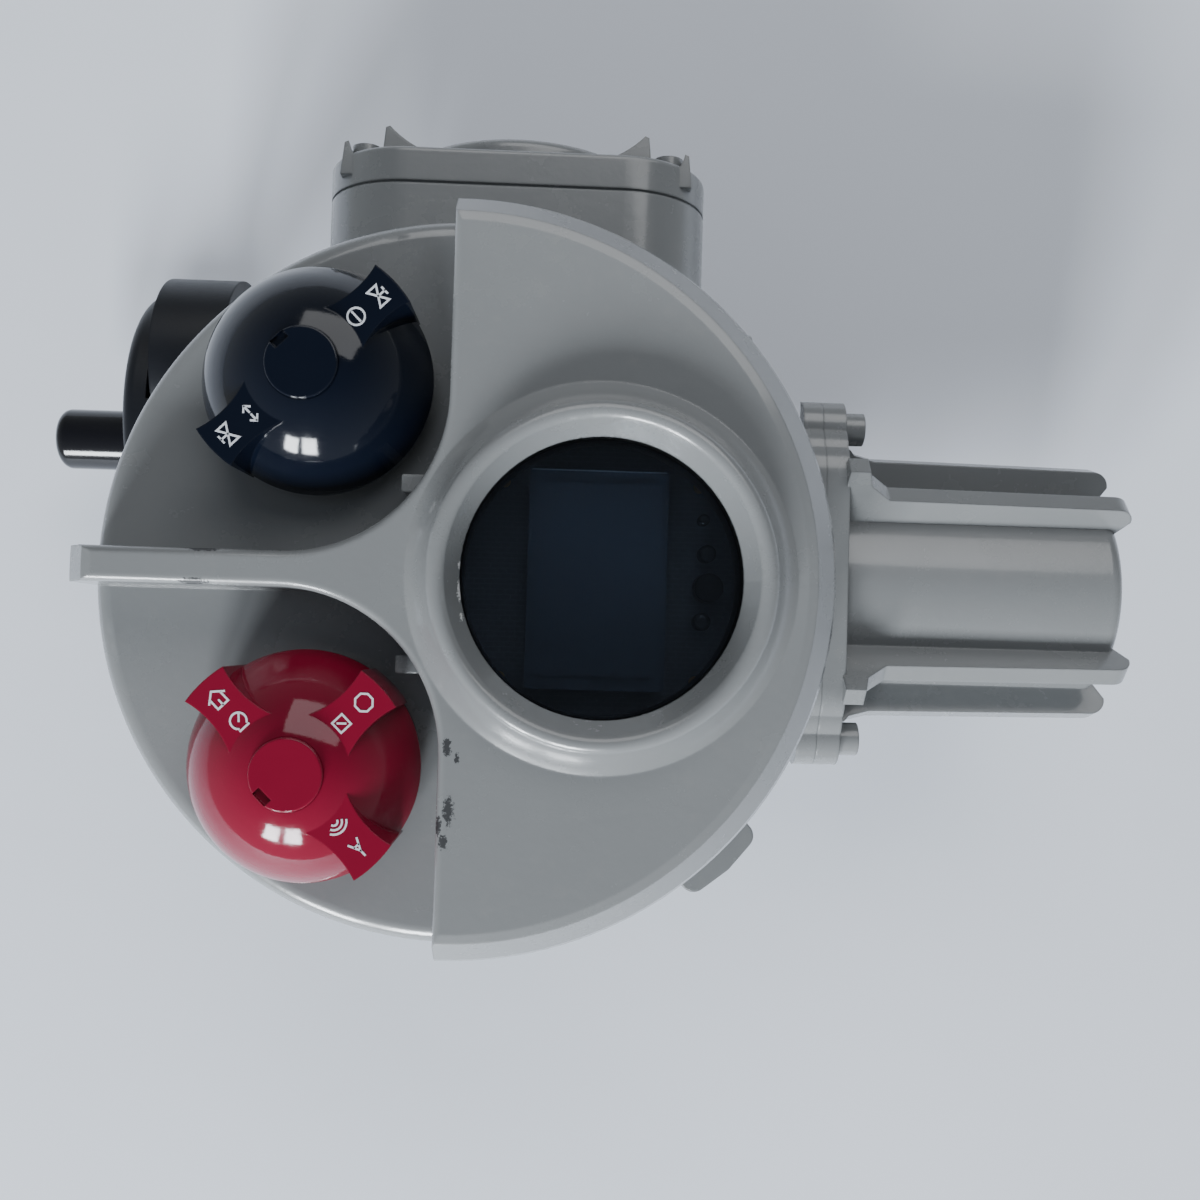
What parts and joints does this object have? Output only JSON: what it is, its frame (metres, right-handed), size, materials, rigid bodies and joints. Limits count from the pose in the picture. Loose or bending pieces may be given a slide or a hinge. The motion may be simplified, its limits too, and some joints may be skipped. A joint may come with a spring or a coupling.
{
  "type": "motorized valve actuator",
  "caption": "Quarter-turn electric valve actuator with round control panel, display window, two selector knobs, ribbed motor, terminal box and hand crank.",
  "frame": {"origin": "centre of the valve mounting face, on the output axis", "axes": "+Z along the output axis up to the control panel, +X towards the motor, +Y towards the terminal box"},
  "size_m": [0.3513, 0.234, 0.174],
  "materials": {
    "grey_paint": "semi-gloss powder coat",
    "black_gloss": "gloss",
    "red_gloss": "gloss",
    "black_satin": "satin",
    "black_grip": "gloss",
    "clear_glass": "polished",
    "black_rubber": "matte",
    "steel": "machined",
    "bronze": "machined",
    "bare_aluminium": "machined",
    "board_green": "satin",
    "board_parts": "matte",
    "lcd": "dark panel",
    "lamp": "clear epoxy",
    "copper": "wound wire and laminations"
  },
  "bodies": {
    "housing": {"black_knob_pin": "steel", "board_posts": "bronze", "cable_plug": "bare_aluminium", "control_cover": "grey_paint", "cover_screws": "steel", "crank_shaft_seal": "black_rubber", "display_board": "board_green", "display_posts": "bronze", "gear_chamber_plate": "grey_paint", "gear_housing": "grey_paint", "gearbox_lid": "bare_aluminium", "idler_pin": "steel", "infrared_window": "board_parts", "joint_seal": "black_rubber", "lcd_module": "lcd", "lid_circlip": "steel", "lower_output_bush": "bronze", "main_board": "board_green", "motor_bearings": "steel", "motor_housing": "grey_paint", "motor_screws": "steel", "plate_screws": "steel", "position_sensor": "board_parts", "red_knob_pin": "steel", "relays": "board_parts", "retainer_screws": "steel", "stator": "copper", "status_lights": "lamp", "stop_nuts": "steel", "stop_screws": "steel", "terminal_clamps": "bronze", "terminal_lid": "grey_paint", "terminal_lid_screws": "steel", "terminal_strip": "board_parts", "transformer": "board_parts", "upper_output_bush": "bronze", "window_gasket": "black_rubber", "window_glass": "clear_glass", "window_retainer": "bare_aluminium", "worm_bush_crank_side": "bronze", "worm_bush_motor_side": "bronze"},
    "output": {"drive_sleeve": "steel", "worm_wheel": "bronze", "stop_sector": "steel", "position_magnet": "steel"},
    "worm": {"worm_shaft": "steel", "worm_gear": "steel", "crank_arm": "black_satin", "grip_pin": "steel"},
    "grip": {"crank_grip": "black_grip"},
    "idler": {"idler_gear": "steel"},
    "rotor": {"motor_shaft": "steel", "rotor_core": "steel", "motor_pinion": "steel"},
    "black_selector": {"black_knob": "black_gloss", "black_knob_cap": "black_gloss", "black_knob_magnet": "steel"},
    "red_selector": {"red_knob": "red_gloss", "red_knob_cap": "red_gloss", "red_knob_magnet": "steel"}
  },
  "joints": [
    {"name": "crank_spin", "type": "hinge", "parent": "housing", "child": "worm", "pos_m": [0, 0.068, 0.075], "axis": [1, 0, 0], "range_deg": [0, 4950]},
    {"name": "output_turn", "type": "hinge", "parent": "housing", "child": "output", "pos_m": [0, 0, 0], "axis": [0, 0, 1], "range_deg": [0, 90]},
    {"name": "idler_spin", "type": "hinge", "parent": "housing", "child": "idler", "pos_m": [0.0665, 0.034, 0.075], "axis": [1, 0, 0], "range_deg": [-2700, 0]},
    {"name": "motor_spin", "type": "hinge", "parent": "housing", "child": "rotor", "pos_m": [0.12, 0.004, 0.075], "axis": [1, 0, 0], "range_deg": [0, 7425]},
    {"name": "grip_spin", "type": "hinge", "parent": "worm", "child": "grip", "pos_m": [-0.14, 0.0506, 0.035], "axis": [1, 0, 0], "continuous": true},
    {"name": "black_selector_turn", "type": "hinge", "parent": "housing", "child": "black_selector", "pos_m": [-0.05, 0.05, 0.15], "axis": [0, 0, 1], "range_deg": [-90, 90], "stiffness_Nm_per_rad": 0.08},
    {"name": "red_selector_turn", "type": "hinge", "parent": "housing", "child": "red_selector", "pos_m": [-0.05, -0.05, 0.15], "axis": [0, 0, 1], "range_deg": [-90, 90]}
  ],
  "couplings": [
    {"joint": "output_turn", "follows": "crank_spin", "ratio": 0.018182},
    {"joint": "idler_spin", "follows": "crank_spin", "ratio": -0.54545},
    {"joint": "motor_spin", "follows": "crank_spin", "ratio": 1.5}
  ]
}
